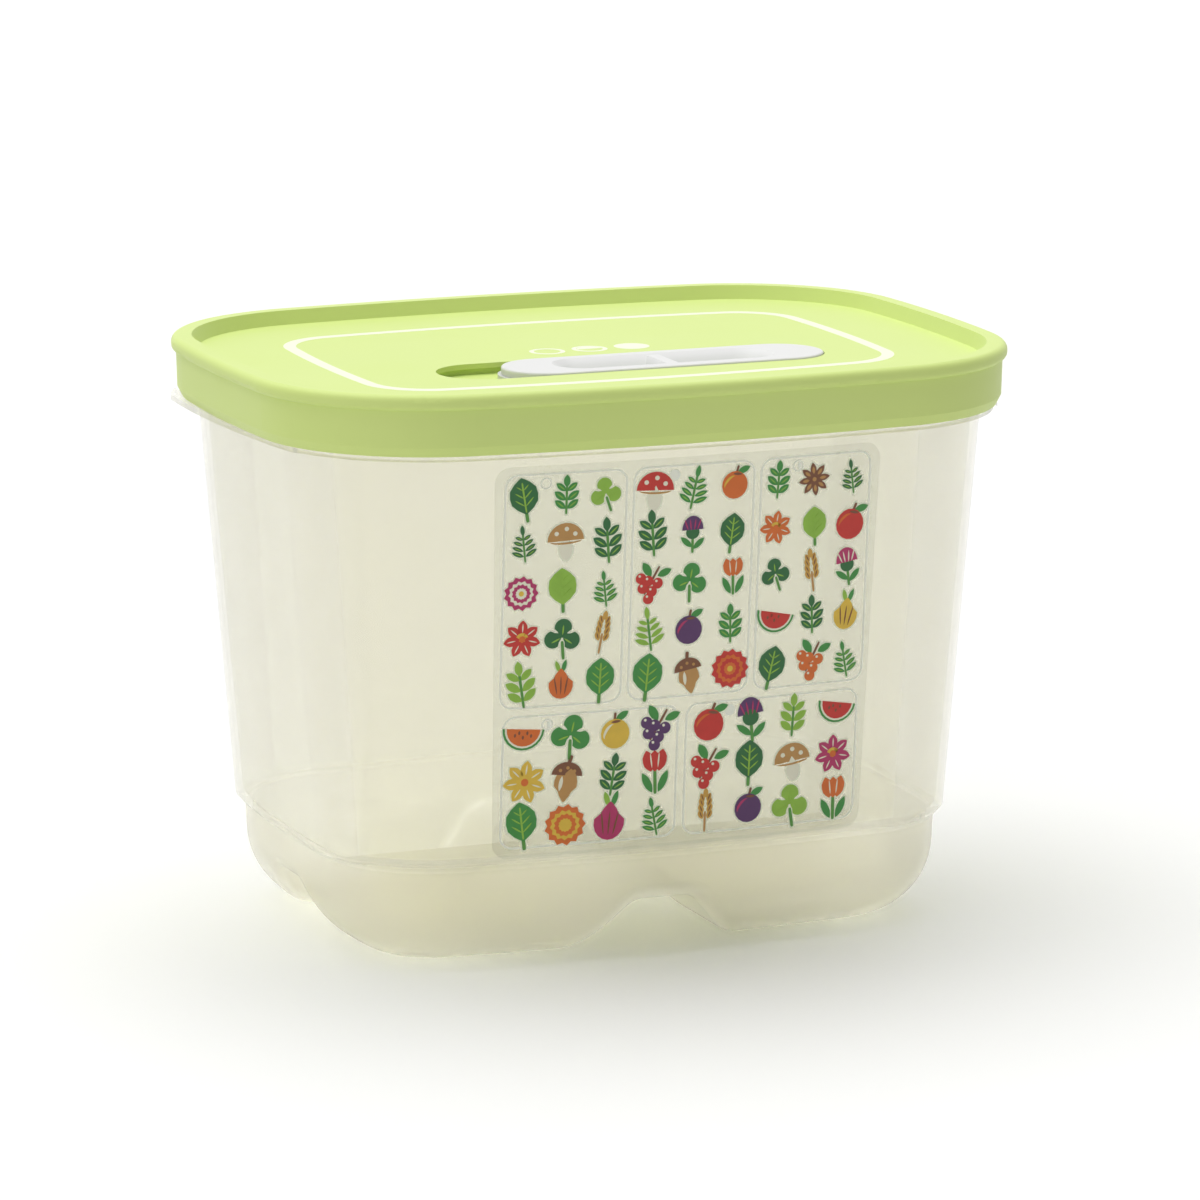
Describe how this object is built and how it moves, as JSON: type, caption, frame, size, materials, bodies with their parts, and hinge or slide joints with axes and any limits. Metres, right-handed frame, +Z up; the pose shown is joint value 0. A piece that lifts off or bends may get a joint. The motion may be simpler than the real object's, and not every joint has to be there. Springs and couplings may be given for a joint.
{
  "type": "produce storage container",
  "caption": "Rectangular food keeper: clear tapered tub on hollow feet, soft lift-off lid and a sliding vent cover in the lid.",
  "frame": {"origin": "on the surface it stands on, under the middle of the container", "axes": "+X along the long side, -Y is the front with the printed film, +Z up"},
  "size_m": [0.2, 0.1534, 0.1475],
  "materials": {
    "clear_plastic": "clear to milky moulded plastic, frosted below the step",
    "printed_film": "clear printed film with small coloured motifs",
    "soft_green_plastic": "satin soft plastic",
    "white_plastic": "satin"
  },
  "bodies": {
    "tub": {"tub": "clear_plastic", "chart_film": "printed_film"},
    "lid": {"lid": "soft_green_plastic"},
    "vent_cover": {"vent_cover": "white_plastic"}
  },
  "joints": [
    {"name": "lid_lift", "type": "slide", "parent": "tub", "child": "lid", "axis": [0, 0, 1], "range_m": [0, 0.12]},
    {"name": "vent_slide", "type": "slide", "parent": "lid", "child": "vent_cover", "axis": [-1, 0, 0], "range_m": [0, 0.017]}
  ]
}
